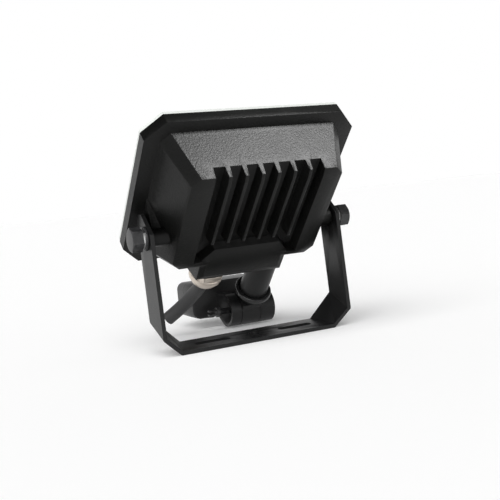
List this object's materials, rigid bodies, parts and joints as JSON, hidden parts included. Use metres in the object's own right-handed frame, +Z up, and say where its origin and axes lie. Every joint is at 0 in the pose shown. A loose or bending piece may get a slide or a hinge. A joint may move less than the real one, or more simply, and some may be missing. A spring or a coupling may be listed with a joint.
{
  "type": "motion sensor floodlight",
  "caption": "Black LED floodlight with a finned back on a U bracket, with a motion sensor and a short cable under it.",
  "frame": {"origin": "middle of the bracket's centre hole, on the underside of its base", "axes": "+Z is up as the light stands, the lamp and its sensor face forward to -Y, the pivot bolts lie along X; the base slopes down to the rear by 7.3 degrees"},
  "size_m": [0.13, 0.1372, 0.1243],
  "materials": {
    "black_coat": "fine textured black coat",
    "clear_glass": "clear and smooth",
    "black_rubber": "matte",
    "board": "white solder mask",
    "led_phosphor": "yellow phosphor",
    "steel": "bright zinc plate",
    "blackened_steel": "black oxide",
    "part_plastic": "moulded",
    "white_plastic": "smooth",
    "connector_plastic": "moulded",
    "nickel_plate": "satin nickel plate",
    "black_plastic": "fine moulded texture",
    "glossy_black": "polished",
    "lens_plastic": "translucent white, fine ribs",
    "can_metal": "pale gilt can"
  },
  "bodies": {
    "bracket": {"bracket": "black_coat"},
    "lamp": {"housing": "black_coat", "front_glass": "clear_glass", "glass_seal": "black_rubber", "led_board": "board", "led_chips": "led_phosphor", "board_screws": "steel", "driver_parts": "part_plastic", "reflector": "white_plastic", "terminal_block": "connector_plastic", "pivot_bolt_left": "blackened_steel", "pivot_bolt_right": "blackened_steel", "flat_washer_left": "steel", "flat_washer_right": "steel", "spring_washer_left": "steel", "spring_washer_right": "steel", "gland_washer": "black_rubber", "gland_body": "nickel_plate", "gland_seal": "black_rubber", "gland_nut": "nickel_plate", "cable": "black_rubber", "neck_gasket": "black_rubber", "neck": "black_plastic", "neck_collar": "glossy_black"},
    "knuckle": {"knuckle": "black_plastic", "neck_o_ring": "black_rubber"},
    "sensor_head": {"sensor_rear_shell": "black_plastic", "sensor_front_shell": "black_plastic", "sensor_lens": "lens_plastic", "sensor_board": "board", "sensor_board_screws": "steel", "infrared_detector": "can_metal", "potentiometers": "black_plastic", "clamp_screw": "steel", "clamp_nut": "steel"},
    "dial_light": {"dial_light": "white_plastic"},
    "dial_time": {"dial_time": "white_plastic"},
    "dial_range": {"dial_range": "white_plastic"}
  },
  "joints": [
    {"name": "lamp_tilt", "type": "hinge", "parent": "bracket", "child": "lamp", "pos_m": [0, 0, 0.06103], "axis": [-1, 0, 0], "range_deg": [-24, 90]},
    {"name": "sensor_pan", "type": "hinge", "parent": "lamp", "child": "knuckle", "pos_m": [-0.0204, -0.03868, 0.02208], "axis": [0, -0.7046, -0.7096], "range_deg": [-25, 45]},
    {"name": "sensor_tilt", "type": "hinge", "parent": "knuckle", "child": "sensor_head", "pos_m": [-0.0204, -0.05102, 0.00966], "axis": [1, 0, 0], "range_deg": [-35, 50]},
    {"name": "light_turn", "type": "hinge", "parent": "sensor_head", "child": "dial_light", "pos_m": [-0.0275, -0.07052, 0.00516], "axis": [0, 0, -1], "range_deg": [-135, 135]},
    {"name": "time_turn", "type": "hinge", "parent": "sensor_head", "child": "dial_time", "pos_m": [-0.0155, -0.07052, 0.00516], "axis": [0, 0, -1], "range_deg": [-135, 135]},
    {"name": "range_turn", "type": "hinge", "parent": "sensor_head", "child": "dial_range", "pos_m": [-0.0035, -0.07052, 0.00516], "axis": [0, 0, -1], "range_deg": [-135, 135]}
  ]
}
